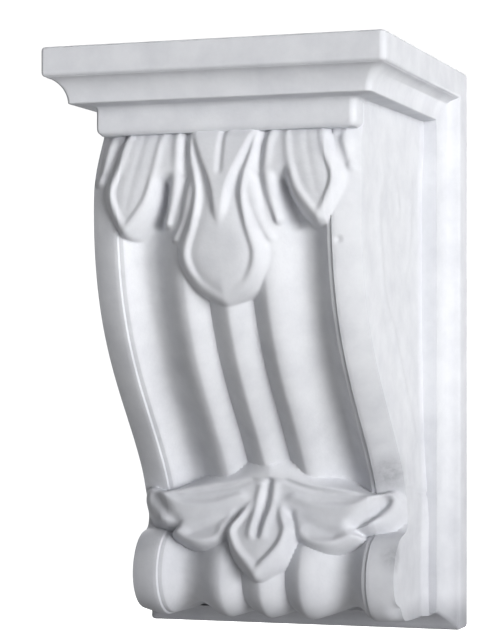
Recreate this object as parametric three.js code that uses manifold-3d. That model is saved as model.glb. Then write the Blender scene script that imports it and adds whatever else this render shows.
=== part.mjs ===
// Stone corbel cut from one block, in millimetres.
// X runs across the front, Y runs into the wall and Z runs up.
// The origin is the centre of the flat back face, so the stone lies in front of Y = 0.
import * as THREE from 'three';
import { mergeVertices } from 'three/addons/utils/BufferGeometryUtils.js';
import Module from 'manifold-3d';

const wasm = await Module();
wasm.setup();

// Overall size of the block
const HEIGHT = 300;
const WIDTH = 178;
const DEPTH = 165;

// Edge moulding that the top slab and the back plate share: a flat fascia, then a cove
const FASCIA = 15;
const COVE_DROP = 12.9;
const COVE_INSET = 10;
const COVE_STEPS = 6;
const SLAB_COVE_ROOT = 2;
const PLATE_COVE_ROOT = 2.6;

// Neck under the top slab: level soffit, upright face and a small splay at its foot
const SOFFIT_INSET = 11;
const SOFFIT_FALL = 0.5;
const NECK_FOOT = 259;
const NECK_SPLAY = 2;
const NECK_TAPER = 0.03;

// Scrolled front, seen from the side as [depth, height]: shoulder, long S and bottom roll
const FRONT_START = [-134, 262];
const SHOULDER = [-145, 219];
const SHOULDER_HANDLES = [[-140.5, 251], [-145, 238]];
const WAIST = [-64, 66];
const S_HANDLES = [[-145, 137], [-85, 115.5]];
const WAIST_CORNER = [-61.2, 57];
const ROLL_CENTRE = [-65, 32];
const ROLL_RADIUS = 23.2;
const ROLL_FIRST_ANGLE = THREE.MathUtils.degToRad(97);
const ROLL_LAST_ANGLE = THREE.MathUtils.degToRad(270);
const UNDERSIDE_END = -12;
const RELIEF_SPAN = 16;

// Sides of the scrolled body: half width at its front, narrower top, flare where it meets the plate
const HALF_WIDTH = 70.5;
const SIDE_TAPER = 0.025;
const TAPER_FROM = -140;
const TOP_HALF_WIDTH = 68.9;
const TOP_LENGTH = 35;
const FLARE_FROM = -35;
const FLARE_SLOPES = [0.19, 0.42];
const FLARE_LEVELS = [40, 110];
const BODY_BACK = -8;
const BACK_SLIP = 1;

// Section across the front, measured from the centre line and from the scrolled surface
const CREASE_AT = 11.7;
const CREASE_DEPTH = 6.3;
const REED_POINT = 1.4;
const REED_CREST_AT = 21.5;
const FLUTE_VALLEY_AT = 43;
const FLUTE_DEPTH = 9.6;
const BEAD_AT = 54.5;
const BEAD_HALF = 1.3;
const BEAD_RISE = 0.4;
const BAND_FROM = 56.3;
const BAND_FALL = 5;
const ROLL_BAND_FALL = 2.6;
const BAND_ROUNDING = 1.5;
const BAND_EASE = [-8, 14];
const UNDERSIDE_FADE = 0.6;
const UNDERSIDE_EASE = [-22, 6];

// Leaves: lines are [distance from the centre, distance down the scrolled surface]
const LINE_STEPS = 24;
const ROOT = { height: 4, levels: [26, 37], outer: 52, outerSlope: 2 };
const NECK_DIP = { depth: 3, levels: [2, 14] };
const MIDDLE_LEAF = {
  rim: smoothLine([[20, -2], [16, 18], [11.4, 36], [13.8, 53], [17.4, 68], [11.5, 80.5], [0, 88]]),
  crest: 6,
  innerHalf: 2.8,
  outerHalf: [4.6, 7],
  bellyLevels: [44, 66],
  panel: [4, 6.4],
  panelLevels: [34, 62],
  panelRise: 3,
};
const WEDGE = {
  edge: smoothLine([[21, -2], [13.5, 17], [5.6, 34], [2.8, 48], [0.2, 56]]),
  crest: 7,
  fall: 2,
  levels: [44, 56],
  flank: 1.6,
};
const WEDGE_GROOVE = { line: smoothLine([[0, -2], [0, 28]]), depth: 2, half: 1.6 };
const FINGERS = [
  { line: smoothLine([[26.5, -2], [23.7, 22], [25, 38], [28.6, 51.5]]), crests: [5.2, 3.4], half: 5.2 },
  { line: smoothLine([[13, 28], [18, 48], [24.5, 60]]), crests: [4.4, 3.6], half: 6 },
  { line: smoothLine([[62.5, -2], [62.5, 14], [65.5, 28]]), crests: [1.2, 1], half: 5 },
];
const FINGER_TIP = { length: 22, narrowing: 0.7, fallLevels: [36, 8] };
const LEAF_GROOVES = [
  { line: smoothLine([[21.6, -2], [20, 16], [19.6, 26]]), depth: 2.6, half: 2.2 },
  { line: smoothLine([[57.2, -2], [58.4, 12], [63, 25]]), depth: 1.6, half: 2 },
];
const SIDE_LEAF = {
  inner: smoothLine([[33, -2], [35, 20], [38.5, 35], [44, 44], [50.5, 51.5]]),
  outer: smoothLine([[50, -2], [53, 20], [57.5, 33.5], [55, 43], [50.5, 51.5]]),
  crest: 5,
  innerHalf: 3,
  outerHalf: 5.4,
  panelEdge: 3,
  panelRise: 1.6,
};
const WING = {
  outline: smoothLine([
    [0, 194.5], [10, 197.5], [20, 201.5], [32, 205], [44, 209], [56, 213], [63, 211.5], [67.5, 215],
    [66.5, 224], [61, 232], [54, 237.5], [49.5, 240], [50.5, 245], [45, 250.5], [36, 253.5], [28, 253],
    [22, 250], [17, 242], [13, 231], [8, 238], [0, 244],
  ]),
  thickness: 4.5,
  edge: 5,
  outsideSlope: 5,
  tip: [58, 70],
  tipFall: 0.6,
};
const WING_FOLDS = [
  { line: smoothLine([[15, 219], [27, 224], [40, 225], [56, 220]]), rise: 1.4, half: 4.2 },
  { line: smoothLine([[20, 244], [25, 249], [35, 250.5], [44, 247.5], [47, 243]]), rise: 1.8, half: 2.8 },
  { line: smoothLine([[48, 231], [58, 224], [63, 215]]), rise: -3, half: 3.2 },
  { line: smoothLine([[20, 234], [29, 240], [38, 244]]), rise: -2, half: 2.8 },
  { line: smoothLine([[9, 203], [20, 210], [34, 214], [50, 216]]), rise: -1.2, half: 2.4 },
];
const DROP = {
  rim: smoothLine([[8.6, 224], [10.6, 235], [14.8, 246], [13.7, 253.5], [8.2, 261], [0, 265.5]]),
  crest: 8,
  panel: 7.6,
  panelStep: 2.4,
  risingLevels: [218, 242],
  innerHalf: 3,
  outerHalf: [4.6, 6.6],
  footLevels: [246, 262],
};
const DROP_PETAL = { line: smoothLine([[3.4, 208], [4, 224], [2.6, 244]]), rise: 1.4, half: 2 };
const DROP_GROOVE = { line: smoothLine([[0, 203], [0, 246]]), depth: 2.4, half: 1.5 };
const STRAND_FOOT = -1;
const LEAF_BASE = -16;
const PANEL_REACH = 4;
const OUTSIDE_SLOPE = 3;
const BLEND = 0.8;

// The waist leaf leaves the ground and lies on a sweep of its own between these two levels
const SWEEP_LEVELS = [198, 262];
const SWEEP_EASE = 55;
const SWEEP_SIDES = [50, 70];
const SWEEP_SIDE_FALL = 0.6;

// Spacing of the carved surface: columns between section lines, rows between levels
const COLUMNS = [
  [0, CREASE_AT, 5], [CREASE_AT, REED_CREST_AT, 4], [REED_CREST_AT, FLUTE_VALLEY_AT, 8],
  [FLUTE_VALLEY_AT, BEAD_AT - BEAD_HALF, 4], [BEAD_AT - BEAD_HALF, BEAD_AT, 1],
  [BEAD_AT, BAND_FROM, 1], [BAND_FROM, HALF_WIDTH, 3],
];
const LEAF_FOOT = 96;
const WING_TOP = 190;
const DROP_FOOT = 275;

const STONE = new THREE.MeshStandardMaterial({ color: 0xdcdee3, roughness: 0.85, metalness: 0 });

function smoothLine(points) {
  const spline = new THREE.SplineCurve(points.map(([x, v]) => new THREE.Vector2(x, v)));
  return spline.getPoints(LINE_STEPS * (points.length > 8 ? 3 : 1));
}

// Shortest distance from a place on the front to a line
function distanceTo(line, x, v) {
  let nearest = Infinity;
  for (let i = 0; i + 1 < line.length; i++) {
    const dx = line[i + 1].x - line[i].x;
    const dv = line[i + 1].y - line[i].y;
    const along = ((x - line[i].x) * dx + (v - line[i].y) * dv) / (dx * dx + dv * dv);
    const t = THREE.MathUtils.clamp(along, 0, 1);
    nearest = Math.min(nearest, Math.hypot(x - line[i].x - t * dx, v - line[i].y - t * dv));
  }
  return nearest;
}

// Distance from the centre at which a line that runs down the front crosses a level
function reachAt(line, v) {
  const i = line.findIndex((point) => point.y > v);
  if (i < 0) {
    return 0;
  }
  if (i === 0) {
    return line[0].x;
  }
  const t = (v - line[i - 1].y) / (line[i].y - line[i - 1].y);
  return THREE.MathUtils.lerp(line[i - 1].x, line[i].x, t);
}

function insideOutline(line, x, v) {
  let inside = false;
  for (let i = 0, j = line.length - 1; i < line.length; j = i++) {
    const crosses = line[i].y > v !== line[j].y > v;
    const t = (v - line[i].y) / (line[j].y - line[i].y);
    if (crosses && x < THREE.MathUtils.lerp(line[i].x, line[j].x, t)) {
      inside = !inside;
    }
  }
  return inside;
}

function blendedMax(a, b) {
  return 0.5 * (a + b + Math.hypot(a - b, BLEND));
}

// Value that eases from one size to another between two levels
function eased(v, [low, high], [from, to]) {
  return THREE.MathUtils.lerp(from, to, THREE.MathUtils.smoothstep(v, low, high));
}

// Round-topped strand along a line
function strand(distance, crest, half) {
  return crest - (crest - STRAND_FOOT) * (distance / half) ** 2;
}

// Cushion that swells inwards from the edge of a leaf
function cushion(distance, inside, edge, rise) {
  return inside ? edge + rise * (1 - Math.exp(-distance / PANEL_REACH)) : edge - OUTSIDE_SLOPE * distance;
}

function bump(distance, half) {
  return Math.exp(-((distance / half) ** 2));
}

// Reeds, flutes, beads and outer bands across the front
function sectionHeight(x, bandFall) {
  if (x < CREASE_AT) {
    return -CREASE_DEPTH * (x / CREASE_AT) ** REED_POINT;
  }
  if (x < REED_CREST_AT) {
    return -CREASE_DEPTH * ((REED_CREST_AT - x) / (REED_CREST_AT - CREASE_AT)) ** REED_POINT;
  }
  if (x < FLUTE_VALLEY_AT) {
    const t = (x - REED_CREST_AT) / (FLUTE_VALLEY_AT - REED_CREST_AT);
    return -FLUTE_DEPTH * 0.5 * (1 - Math.cos(Math.PI * t));
  }
  if (x < BEAD_AT - BEAD_HALF) {
    const t = (x - FLUTE_VALLEY_AT) / (BEAD_AT - BEAD_HALF - FLUTE_VALLEY_AT);
    return -FLUTE_DEPTH * Math.cos(0.5 * Math.PI * t);
  }
  if (x < BAND_FROM) {
    return BEAD_RISE * (1 - ((x - BEAD_AT) / BEAD_HALF) ** 2);
  }
  return -bandFall * ((x - BAND_FROM) / (HALF_WIDTH - BAND_FROM)) ** BAND_ROUNDING;
}

// Leaves that hang under the neck
function topLeaves(x, v) {
  let height = eased(v, ROOT.levels, [ROOT.height, -FLUTE_DEPTH]);
  height -= ROOT.outerSlope * Math.max(x - ROOT.outer, 0);
  for (const { line, crests, half } of FINGERS) {
    const tip = line.at(-1).y;
    const [fallFrom, fallTo] = FINGER_TIP.fallLevels;
    const crest = eased(v, [tip - fallFrom, tip - fallTo], crests);
    const size = eased(v, [tip - FINGER_TIP.length, tip], [1, 1 - FINGER_TIP.narrowing]);
    height = blendedMax(height, strand(distanceTo(line, x, v), crest * size, half * size));
  }
  const toSideRim = Math.min(distanceTo(SIDE_LEAF.inner, x, v), distanceTo(SIDE_LEAF.outer, x, v));
  const inSideLeaf = x > reachAt(SIDE_LEAF.inner, v) && x < reachAt(SIDE_LEAF.outer, v);
  const sideHalf = inSideLeaf ? SIDE_LEAF.innerHalf : SIDE_LEAF.outerHalf;
  height = blendedMax(height, strand(toSideRim, SIDE_LEAF.crest, sideHalf));
  height = blendedMax(height, cushion(toSideRim, inSideLeaf, SIDE_LEAF.panelEdge, SIDE_LEAF.panelRise));
  const toRim = distanceTo(MIDDLE_LEAF.rim, x, v);
  const inMiddle = x < reachAt(MIDDLE_LEAF.rim, v);
  const outerHalf = eased(v, MIDDLE_LEAF.bellyLevels, MIDDLE_LEAF.outerHalf);
  const middleHalf = inMiddle ? MIDDLE_LEAF.innerHalf : outerHalf;
  height = blendedMax(height, strand(toRim, MIDDLE_LEAF.crest, middleHalf));
  const panelEdge = eased(v, MIDDLE_LEAF.panelLevels, MIDDLE_LEAF.panel) - MIDDLE_LEAF.panelRise;
  height = blendedMax(height, cushion(toRim, inMiddle, panelEdge, MIDDLE_LEAF.panelRise));
  if (v < WEDGE.edge.at(-1).y) {
    const offWedge = Math.max(x - reachAt(WEDGE.edge, v) + 1, 0);
    const crest = eased(v, WEDGE.levels, [WEDGE.crest, WEDGE.crest - WEDGE.fall]);
    height = blendedMax(height, crest - WEDGE.flank * offWedge ** 1.5);
  }
  for (const { line, depth, half } of [WEDGE_GROOVE, ...LEAF_GROOVES]) {
    height -= depth * bump(distanceTo(line, x, v), half);
  }
  return height - eased(v, NECK_DIP.levels, [NECK_DIP.depth, 0]);
}

// Spreading leaf at the waist with its hanging drop
function waistLeaves(x, v) {
  const toEdge = distanceTo(WING.outline, x, v);
  let height = -WING.outsideSlope * toEdge;
  if (insideOutline(WING.outline, x, v)) {
    const swell = 1 - (1 - Math.min(toEdge / WING.edge, 1)) ** 2;
    height = WING.thickness * swell;
    for (const fold of WING_FOLDS) {
      height += fold.rise * swell * bump(distanceTo(fold.line, x, v), fold.half);
    }
    height *= eased(x, WING.tip, [1, 1 - WING.tipFall]);
  }
  const toRim = distanceTo(DROP.rim, x, v);
  const inDrop = v > DROP.rim[0].y && x < reachAt(DROP.rim, v);
  const crest = eased(v, DROP.risingLevels, [WING.thickness, DROP.crest]);
  const outerHalf = eased(v, DROP.footLevels, DROP.outerHalf);
  height = blendedMax(height, strand(toRim, crest, inDrop ? DROP.innerHalf : outerHalf));
  if (inDrop) {
    const panel = eased(v, DROP.risingLevels, [0, DROP.panel - DROP.crest]) + DROP.panelStep;
    height = blendedMax(height, cushion(toRim, true, crest - DROP.panelStep, panel));
  }
  height += DROP_PETAL.rise * bump(distanceTo(DROP_PETAL.line, x, v), DROP_PETAL.half);
  return height - DROP_GROOVE.depth * bump(distanceTo(DROP_GROOVE.line, x, v), DROP_GROOVE.half);
}

function frontProfile() {
  const path = new THREE.Path();
  path.moveTo(...FRONT_START);
  path.bezierCurveTo(...SHOULDER_HANDLES[0], ...SHOULDER_HANDLES[1], ...SHOULDER);
  path.bezierCurveTo(...S_HANDLES[0], ...S_HANDLES[1], ...WAIST);
  const rollTop = ROLL_CENTRE[0] + ROLL_RADIUS * Math.cos(ROLL_FIRST_ANGLE);
  const rollTopHeight = ROLL_CENTRE[1] + ROLL_RADIUS * Math.sin(ROLL_FIRST_ANGLE);
  path.quadraticCurveTo(...WAIST_CORNER, rollTop, rollTopHeight);
  path.absarc(...ROLL_CENTRE, ROLL_RADIUS, ROLL_FIRST_ANGLE, ROLL_LAST_ANGLE, false);
  path.lineTo(UNDERSIDE_END, ROLL_CENTRE[1] - ROLL_RADIUS);
  return path;
}

function solidFrom(positions, triangles) {
  return new wasm.Manifold(new wasm.Mesh({
    numProp: 3,
    vertProperties: new Float32Array(positions),
    triVerts: new Uint32Array(triangles),
  }));
}

// Closed solid through a row of rings that have the same number of points
function loft(rings) {
  const count = rings[0].length;
  const positions = rings.flat().flatMap((point) => point.toArray());
  const triangles = [];
  for (let r = 0; r + 1 < rings.length; r++) {
    for (let i = 0; i < count; i++) {
      const next = (i + 1) % count;
      const a = r * count + i;
      const b = r * count + next;
      const straight = rings[r][i].distanceTo(rings[r + 1][next]);
      const crossed = rings[r][next].distanceTo(rings[r + 1][i]);
      if (straight < crossed) {
        triangles.push(a, b, b + count, a, b + count, a + count);
      } else {
        triangles.push(a, b, a + count, b, b + count, a + count);
      }
    }
  }
  const lastRing = (rings.length - 1) * count;
  for (const [ring, start, turned] of [[rings[0], 0, true], [rings.at(-1), lastRing, false]]) {
    const middle = positions.length / 3;
    const centre = ring.reduce((sum, point) => sum.add(point), new THREE.Vector3());
    positions.push(...centre.divideScalar(count).toArray());
    for (let i = 0; i < count; i++) {
      const a = start + i;
      const b = start + (i + 1) % count;
      triangles.push(middle, ...(turned ? [b, a] : [a, b]));
    }
  }
  return solidFrom(positions, triangles);
}

// Cove as [distance from the top or the wall, inset], rooted inside the fascia
function cove(root) {
  const steps = [];
  for (let i = 1; i <= COVE_STEPS; i++) {
    const angle = 0.5 * Math.PI * i / COVE_STEPS;
    steps.push([FASCIA + COVE_DROP * (1 - Math.cos(angle)), COVE_INSET * Math.sin(angle)]);
  }
  return [[FASCIA / 2, steps[0][1] + root], ...steps];
}

// Fascia of the top slab and of the back plate, in one L-shaped length across the width
function fasciaBlock() {
  const outline = new THREE.Shape();
  outline.moveTo(0, 0);
  outline.lineTo(0, HEIGHT);
  outline.lineTo(-DEPTH, HEIGHT);
  outline.lineTo(-DEPTH, HEIGHT - FASCIA);
  outline.lineTo(-FASCIA, HEIGHT - FASCIA);
  outline.lineTo(-FASCIA, 0);
  const turn = new THREE.Matrix4().makeBasis(
    new THREE.Vector3(0, 1, 0),
    new THREE.Vector3(0, 0, 1),
    new THREE.Vector3(1, 0, 0),
  );
  const geometry = new THREE.ExtrudeGeometry(outline, { depth: WIDTH, bevelEnabled: false });
  geometry.applyMatrix4(turn);
  geometry.translate(-WIDTH / 2, 0, 0);
  geometry.deleteAttribute('normal');
  geometry.deleteAttribute('uv');
  const merged = mergeVertices(geometry);
  return solidFrom(merged.attributes.position.array, merged.index.array);
}

// Cove under the top slab, soffit and neck: level rings from the top down
function slabCoveAndNeck() {
  const soffitInset = COVE_INSET + SOFFIT_INSET;
  const soffitLevel = FASCIA + COVE_DROP + SOFFIT_FALL;
  const steps = [
    ...cove(SLAB_COVE_ROOT),
    [soffitLevel, soffitInset],
    [HEIGHT - NECK_FOOT, soffitInset],
    [HEIGHT - NECK_FOOT + NECK_SPLAY, soffitInset + NECK_SPLAY],
  ];
  return loft(steps.map(([drop, inset]) => {
    const half = WIDTH / 2 - inset;
    const front = inset - DEPTH;
    const back = -FASCIA / 2;
    const backHalf = half + (inset < soffitInset ? 0 : NECK_TAPER * (back - front));
    const level = HEIGHT - drop;
    return [
      new THREE.Vector3(-backHalf, back, level),
      new THREE.Vector3(backHalf, back, level),
      new THREE.Vector3(half, front, level),
      new THREE.Vector3(-half, front, level),
    ];
  }));
}

// Cove and face of the back plate: upright rings from the wall forwards
function plateCove() {
  const top = HEIGHT - FASCIA / 2;
  return loft(cove(PLATE_COVE_ROOT).map(([forward, inset]) => {
    const half = WIDTH / 2 - inset;
    return [
      new THREE.Vector3(-half, -forward, inset),
      new THREE.Vector3(half, -forward, inset),
      new THREE.Vector3(half, -forward, top),
      new THREE.Vector3(-half, -forward, top),
    ];
  }));
}

function spread(from, to, steps) {
  return Array.from({ length: steps }, (_, i) => THREE.MathUtils.lerp(from, to, i / steps));
}

// Carving worn by one step towards its neighbours
function softened(grid) {
  const worn = (before, here, after) => 0.25 * (before + 2 * here + after);
  const down = grid.map((row, r) => {
    const above = grid[Math.max(r - 1, 0)];
    const below = grid[Math.min(r + 1, grid.length - 1)];
    return row.map((here, c) => worn(above[c], here, below[c]));
  });
  return down.map((row) => row.map((here, c) => worn(row[c - 1] ?? here, here, row[c + 1] ?? here)));
}

// Scrolled body: one ring for each row, from the wall round the carved front and back
function scrolledBody() {
  const profile = frontProfile();
  const length = profile.getLength();
  const at = (v) => profile.getPoint(THREE.MathUtils.clamp(v / length, 0, 1));
  const alongAt = (v) => at(v + RELIEF_SPAN).sub(at(v - RELIEF_SPAN)).normalize();
  const outward = (along) => new THREE.Vector2(along.y, -along.x);
  const waistRun = profile.curves[0].getLength() + profile.curves[1].getLength();
  const rollFoot = length - (UNDERSIDE_END - ROLL_CENTRE[0]);
  const [sweepFrom, sweepTo] = SWEEP_LEVELS;
  const sweep = new THREE.CubicBezierCurve(
    at(sweepFrom),
    at(sweepFrom).addScaledVector(alongAt(sweepFrom), SWEEP_EASE / 3),
    at(sweepTo).addScaledVector(alongAt(sweepTo), -SWEEP_EASE / 3),
    at(sweepTo),
  );

  // Step from the ground to the middle of the leaf
  function leafStep(v) {
    const t = (v - sweepFrom) / (sweepTo - sweepFrom);
    if (t <= 0 || t >= 1) {
      return outward(alongAt(v)).multiplyScalar(WING.thickness);
    }
    return sweep.getPoint(t).addScaledVector(outward(sweep.getTangent(t)), WING.thickness).sub(at(v));
  }

  function leafHeight(x, v) {
    if (v < LEAF_FOOT) {
      return Math.max(topLeaves(x, v), LEAF_BASE);
    }
    if (v < WING_TOP || v > DROP_FOOT) {
      return LEAF_BASE;
    }
    const bridge = leafStep(v).length() - WING.thickness;
    const lift = bridge * eased(x, SWEEP_SIDES, [1, 1 - SWEEP_SIDE_FALL]);
    return Math.max(lift + waistLeaves(x, v), LEAF_BASE);
  }

  function ring(v, r) {
    const push = leafStep(v).normalize();
    const bandFall = eased(v - waistRun, BAND_EASE, [BAND_FALL, ROLL_BAND_FALL]);
    const carving = eased(v - rollFoot, UNDERSIDE_EASE, [1, 1 - UNDERSIDE_FADE]);
    const wide = HALF_WIDTH + SIDE_TAPER * (at(v).x - TAPER_FROM);
    const halfWidthAt = (depth) => {
      const top = TOP_HALF_WIDTH + NECK_TAPER * (depth - FRONT_START[0]);
      return eased(v, [0, TOP_LENGTH], [top, wide]);
    };
    const frontHalf = halfWidthAt(at(v).x);
    const front = across.map((x, c) => {
      const ground = sectionHeight(Math.abs(x), bandFall) * carving;
      const point = at(v).addScaledVector(push, blendedMax(ground, leaf[r][c]));
      return new THREE.Vector3(x * frontHalf / HALF_WIDTH, point.x, point.y);
    });
    const slip = BACK_SLIP * Math.max(0, (v - rollFoot) / (length - rollFoot));
    const level = front[0].z - slip;
    const flareFrom = Math.max(FLARE_FROM, front[0].y + 1);
    const cornerHalf = halfWidthAt(flareFrom);
    const flareSlope = eased(level, FLARE_LEVELS, [...FLARE_SLOPES].reverse());
    const backHalf = halfWidthAt(BODY_BACK) + flareSlope * (BODY_BACK - FLARE_FROM);
    return [
      new THREE.Vector3(-backHalf, BODY_BACK, level),
      new THREE.Vector3(-cornerHalf, flareFrom, level),
      ...front,
      new THREE.Vector3(cornerHalf, flareFrom, level),
      new THREE.Vector3(backHalf, BODY_BACK, level),
    ].reverse();
  }

  const rows = [
    ...spread(0, LEAF_FOOT, 32),
    ...spread(LEAF_FOOT, WING_TOP, 9),
    ...spread(WING_TOP, DROP_FOOT, 30),
    ...spread(DROP_FOOT, rollFoot, 6),
    rollFoot,
    length,
  ];
  const half = [...COLUMNS.flatMap((column) => spread(...column)), HALF_WIDTH];
  const across = [...half.slice(1).reverse().map((x) => -x), ...half];
  const leaf = softened(rows.map((v) => across.map((x) => leafHeight(Math.abs(x), v))));
  return loft(rows.map(ring));
}

function geometryOf(solid) {
  const mesh = solid.getMesh();
  const geometry = new THREE.BufferGeometry();
  geometry.setAttribute('position', new THREE.BufferAttribute(mesh.vertProperties, 3));
  geometry.setIndex(new THREE.BufferAttribute(mesh.triVerts, 1));
  geometry.computeVertexNormals();
  return geometry;
}

const block = fasciaBlock().add(slabCoveAndNeck()).add(plateCove()).add(scrolledBody());
const corbel = new THREE.Mesh(geometryOf(block), STONE);
corbel.name = 'corbel';
corbel.position.z = -HEIGHT / 2;

const part = new THREE.Group();
part.add(corbel);

export default part;
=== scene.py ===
import math

import bmesh
import bpy
import numpy as np
from bpy.props import FloatProperty, FloatVectorProperty, PointerProperty
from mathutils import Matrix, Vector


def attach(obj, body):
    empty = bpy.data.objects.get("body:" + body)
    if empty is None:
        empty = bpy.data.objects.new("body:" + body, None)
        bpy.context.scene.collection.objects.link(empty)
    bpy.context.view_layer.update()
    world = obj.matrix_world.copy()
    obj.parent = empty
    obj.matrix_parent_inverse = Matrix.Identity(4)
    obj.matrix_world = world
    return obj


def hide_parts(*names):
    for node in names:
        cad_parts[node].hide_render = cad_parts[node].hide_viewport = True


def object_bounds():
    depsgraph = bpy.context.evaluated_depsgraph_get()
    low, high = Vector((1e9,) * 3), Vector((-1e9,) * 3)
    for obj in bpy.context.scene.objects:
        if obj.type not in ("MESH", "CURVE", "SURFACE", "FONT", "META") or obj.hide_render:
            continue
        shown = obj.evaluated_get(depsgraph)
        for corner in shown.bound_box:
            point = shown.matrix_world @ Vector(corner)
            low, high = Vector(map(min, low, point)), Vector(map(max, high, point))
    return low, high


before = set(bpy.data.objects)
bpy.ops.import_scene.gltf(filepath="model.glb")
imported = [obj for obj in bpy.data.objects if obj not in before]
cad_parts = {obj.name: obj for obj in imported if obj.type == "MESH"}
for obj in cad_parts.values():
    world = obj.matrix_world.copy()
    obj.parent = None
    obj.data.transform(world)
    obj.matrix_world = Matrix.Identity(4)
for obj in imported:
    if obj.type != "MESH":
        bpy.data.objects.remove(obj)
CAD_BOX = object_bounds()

bl_info = {
    "name": "Stone corbel",
    "version": (1, 0, 0),
    "blender": (4, 5, 0),
    "location": "3D View > Sidebar > Corbel",
    "description": "Carves a scrolled stone wall corbel and sets it in a plain studio",
    "category": "Add Mesh",
}

MM = 0.001
WIDTH, DEPTH, HEIGHT = (round((high - low) / MM, 3) for low, high in zip(*CAD_BOX))

# Scrolled front seen from the side, as (depth, height) in millimetres
FRONT_START = (-134.0, 262.0)
SHOULDER_HANDLES = ((-140.5, 251.0), (-145.0, 238.0))
SHOULDER = (-145.0, 219.0)
S_HANDLES = ((-145.0, 137.0), (-85.0, 115.5))
WAIST = (-64.0, 66.0)
WAIST_CORNER = (-61.2, 57.0)
ROLL_CENTRE = (-65.0, 32.0)
ROLL_RADIUS = 23.2
ROLL_ANGLES = (97.0, 270.0)
UNDERSIDE_END = -12.0
# How far the body's first ring runs up into the slab, out of sight
TOP_HIDDEN = 12.0
# Depths at which the sides begin to flare and at which they end inside the plate
FLARE_FROM = -35.0
SIDE_END = -22.0
# Flare at the plate: its least reach, its gain lower down, its depth, and the heights where it gains
FLARE_REACH = 0.4
FLARE_GAIN = 2.5
FLARE_DEPTH = 6
FLARE_GAINS = (110, 40)
# Distance down the front over which the body widens from the neck
NECK_RUN = 35
# Distances from the waist where the band's fall changes, and from the roll's foot where the carving fades
ROLL_BANDS_CHANGE = (-8, 14)
CARVING_FADES = (-12, 10)
CARVING_FADING = 0.35
# Depth at which the body has its plain half width
WIDTH_DATUM = -140.0
# Reach up and down the front of the chord that the carving stands square to
RELIEF_SPAN = 16.0
# Stretch down the front where the waist leaf lies on a sweep of its own, and the ease of that sweep
WAIST_LEAF = (198.0, 262.0)
SWEEP_EASE = 55.0
# Distances down the front where the top leaves end, the waist leaf begins and the drop ends
LEAF_FOOT = 98.0
WING_TOP = 188.0
DROP_FOOT = 277.0
# Heights of the leaf rule where there is no leaf
FAR_BELOW = -60.0
DEEPEST = -16.0

# Leaves under the neck: lines as (distance from the centre, distance down the front) in millimetres
MIDDLE_RIM = ((20, -2), (16, 18), (11.4, 36), (13.8, 53), (17.4, 68), (11.5, 80.5), (0, 88))
WEDGE_EDGE = ((21, -2), (13.5, 17), (5.6, 34), (2.8, 48), (0.2, 56))
SIDE_INNER = ((33, -2), (35, 20), (38.5, 35), (44, 44), (50.5, 51.5))
SIDE_OUTER = ((50, -2), (53, 20), (57.5, 33.5), (55, 43), (50.5, 51.5))
# How much lower the left side leaf hangs, and how much higher the right one
SIDE_LEAN = 2.5
# Where that lean grows: from the centre outwards, and down the front
LEAN_FROM = (28, 36)
LEAN_GROWS = (4, 30)
# Fingers between the leaves: line, crest at the head, crest near the tip, half width
FINGERS = (
    (((26.5, -2), (23.7, 22), (25, 38), (28.6, 51.5)), 5.2, 2.4, 5.2),
    (((13, 28), (18, 48), (24.5, 60)), 4.4, 3.6, 6.0),
    (((62.5, -2), (62.5, 14), (65.5, 28)), 2.0, 1.4, 5.0),
)
# Distances above a finger's tip where its crest begins and ends to fall and where it begins to narrow
FINGER_FALLS = (36, 8)
FINGER_NARROWS = 22
FINGER_NARROWING = 0.55
# Half width of the common root, and its fall for each millimetre past that
ROOT_HALF_WIDTH = 52
ROOT_SIDE_FALL = 2
# Half widths of the leaves' rims inside and outside, and how much the middle one spreads outside
SIDE_RIM_HALVES = (3, 5.4)
MIDDLE_RIM_HALVES = (2.8, 4.6)
MIDDLE_RIM_SPREAD = 2.4
# Sinking of cushions below their rims, of heads into the neck and of tips towards the ground
SIDE_PANEL_SINK = 2
MIDDLE_PANEL_SINK = 3
MIDDLE_PANEL_HEAD = 4
HEAD_SINK = 3
MIDDLE_TIP_SINK = 2
WEDGE_TIP_SINK = 2
WEDGE_SIDE_FALL = 1.6
# Grooves in the leaves: line, depth, half width
LEAF_GROOVES = (
    (((0, -2), (0, 28)), 1.4, 1.1),
    (((21.6, -2), (20, 16), (19.6, 26)), 2.6, 1.7),
    (((20, 30), (21.8, 42), (26, 54)), 0.7, 1.5),
    (((57.2, -2), (58.4, 12), (63, 25)), 1.6, 1.2),
    (((66, -2), (66.8, 12), (66.4, 24)), 1.7, 1.3),
    (((43, 2), (45, 22), (50, 42)), 0.5, 1.6),
)
# Stretches down the front over which the leaves change
ROOT_ENDS = (26, 37)
HEAD_SINKS = (2, 14)
MIDDLE_SPREADS = (44, 66)
MIDDLE_TIP_SINKS = (70, 88)
MIDDLE_SWELLS = (34, 62)
WEDGE_SINKS = (44, 56)

# Spreading leaf over the waist and its drop, as (distance from the centre, distance down the front)
WING_OUTLINE = (
    (0, 194.5), (10, 197.5), (20, 201.5), (32, 205), (44, 209), (56, 213), (65, 210.5),
    (69, 216), (68.5, 225), (63.5, 232.5), (55.5, 238), (48.5, 240), (51, 245), (45, 250),
    (36, 253.5), (28, 253), (22, 250), (17, 242), (13, 231), (8, 238), (0, 244),
)
# Folds of the spreading leaf: line, rise, half width
WING_FOLDS = (
    (((15, 219), (27, 225), (40, 226.5), (50, 223.5), (60.5, 213.5)), 1.8, 3.8),
    (((20, 244), (25, 249), (35, 250.5), (44, 247.5), (46.5, 244.5)), 1.3, 3.0),
    (((58, 236.5), (62, 234), (65.5, 230), (67, 224), (65.5, 216)), 1.8, 2.4),
    (((20, 234), (29, 240), (38, 244)), -1.0, 2.8),
    (((9, 203), (20, 210), (34, 214), (50, 216)), -1.2, 2.4),
)
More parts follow.
